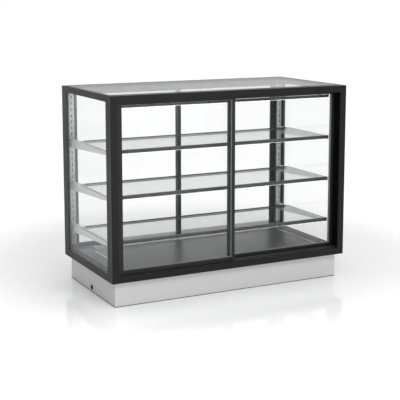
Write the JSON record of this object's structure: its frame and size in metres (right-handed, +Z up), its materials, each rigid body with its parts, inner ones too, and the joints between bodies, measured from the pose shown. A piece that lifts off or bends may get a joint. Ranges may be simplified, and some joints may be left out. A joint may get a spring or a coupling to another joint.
{
  "type": "heated drop-in display case",
  "caption": "Box-shaped heated glass display case with sliding doors front and rear, hooked glass shelves, lit shelf rails, vented deck and a plain metal base that drops into a counter.",
  "frame": {"origin": "centre of the underside of the base, on the surface the case stands on", "axes": "+X to the right seen from the front, +Y to the rear, +Z up"},
  "size_m": [1.2, 0.6, 0.93],
  "materials": {
    "frame_paint": "satin black powder coat",
    "door_paint": "satin black powder coat",
    "clear_glass": "clear tempered glass",
    "shelf_glass": "clear tempered glass",
    "gasket_rubber": "soft black seal",
    "glide_nylon": "natural nylon",
    "track_metal": "dark anodised",
    "standard_steel": "satin",
    "bracket_steel": "light grey satin",
    "rail_paint": "satin dark grey",
    "light_lens": "opal lens",
    "deck_paint": "satin dark grey",
    "grille_paint": "satin dark grey, bright edges",
    "base_metal": "fine satin",
    "insulation": "mineral wool board",
    "tray_metal": "galvanised",
    "grommet_rubber": "black rubber",
    "fan_plastic": "black moulded plastic",
    "heater_steel": "oxidised steel",
    "driver_case": "plain",
    "terminal_plastic": "ivory plastic",
    "control_plastic": "fine grain",
    "rocker_plastic": "polished",
    "screw_steel": "plain"
  },
  "bodies": {
    "case": {"base_floor": "base_metal", "base_shell": "base_metal", "cable_grommet": "grommet_rubber", "control_panel": "base_metal", "deck_panel": "deck_paint", "fan_housings": "fan_plastic", "floor_insulation": "insulation", "front_head_rail": "frame_paint", "front_left_post": "frame_paint", "front_right_post": "frame_paint", "front_sill_rail": "frame_paint", "glazing_gaskets": "gasket_rubber", "heating_elements": "heater_steel", "inner_tray": "tray_metal", "left_glass": "clear_glass", "left_standard": "standard_steel", "light_driver": "driver_case", "light_strips": "light_lens", "lower_shelf_brackets": "bracket_steel", "lower_shelf_glass": "shelf_glass", "lower_side_rails": "frame_paint", "lower_tracks": "track_metal", "middle_shelf_brackets": "bracket_steel", "middle_shelf_glass": "shelf_glass", "rear_head_rail": "frame_paint", "rear_left_post": "frame_paint", "rear_right_post": "frame_paint", "rear_sill_rail": "frame_paint", "rear_vent_grille": "grille_paint", "right_glass": "clear_glass", "right_standard": "standard_steel", "screws": "screw_steel", "shelf_front_rails": "rail_paint", "shelf_rear_rails": "rail_paint", "side_vent_grilles": "grille_paint", "switch_bodies": "control_plastic", "terminal_block": "terminal_plastic", "thermostat_body": "terminal_plastic", "top_glass": "clear_glass", "top_light_rail": "rail_paint", "upper_shelf_brackets": "bracket_steel", "upper_shelf_glass": "shelf_glass", "upper_side_rails": "frame_paint"},
    "front_left_door": {"front_left_door_frame": "door_paint", "front_left_door_glass": "clear_glass", "front_left_door_glides": "glide_nylon"},
    "front_right_door": {"front_right_door_frame": "door_paint", "front_right_door_glass": "clear_glass", "front_right_door_glides": "glide_nylon"},
    "rear_left_door": {"rear_left_door_frame": "door_paint", "rear_left_door_glass": "clear_glass", "rear_left_door_glides": "glide_nylon"},
    "rear_right_door": {"rear_right_door_frame": "door_paint", "rear_right_door_glass": "clear_glass", "rear_right_door_glides": "glide_nylon"},
    "left_fan": {"left_fan_rotor": "fan_plastic"},
    "right_fan": {"right_fan_rotor": "fan_plastic"},
    "knob": {"thermostat_knob": "control_plastic"},
    "heater_switch": {"heater_rocker": "rocker_plastic"},
    "light_switch": {"light_rocker": "rocker_plastic"}
  },
  "joints": [
    {"name": "front_left_door_slide", "type": "slide", "parent": "case", "child": "front_left_door", "axis": [1, 0, 0], "range_m": [0, 0.556]},
    {"name": "front_right_door_slide", "type": "slide", "parent": "case", "child": "front_right_door", "axis": [-1, 0, 0], "range_m": [0, 0.562]},
    {"name": "rear_left_door_slide", "type": "slide", "parent": "case", "child": "rear_left_door", "axis": [1, 0, 0], "range_m": [0, 0.557]},
    {"name": "rear_right_door_slide", "type": "slide", "parent": "case", "child": "rear_right_door", "axis": [-1, 0, 0], "range_m": [0, 0.557]},
    {"name": "left_fan_spin", "type": "hinge", "parent": "case", "child": "left_fan", "pos_m": [-0.2623, 0, 0.0605], "axis": [-1, 0, 0], "continuous": true},
    {"name": "right_fan_spin", "type": "hinge", "parent": "case", "child": "right_fan", "pos_m": [0.2623, 0, 0.0605], "axis": [1, 0, 0], "continuous": true},
    {"name": "thermostat_turn", "type": "hinge", "parent": "case", "child": "knob", "pos_m": [0.335, 0.289, 0.057], "axis": [0, -1, 0], "range_deg": [0, 270]},
    {"name": "heater_switch_rock", "type": "hinge", "parent": "case", "child": "heater_switch", "pos_m": [0.398, 0.282, 0.057], "axis": [1, 0, 0], "range_deg": [-14, 0]},
    {"name": "light_switch_rock", "type": "hinge", "parent": "case", "child": "light_switch", "pos_m": [0.432, 0.282, 0.057], "axis": [1, 0, 0], "range_deg": [-14, 0]}
  ]
}
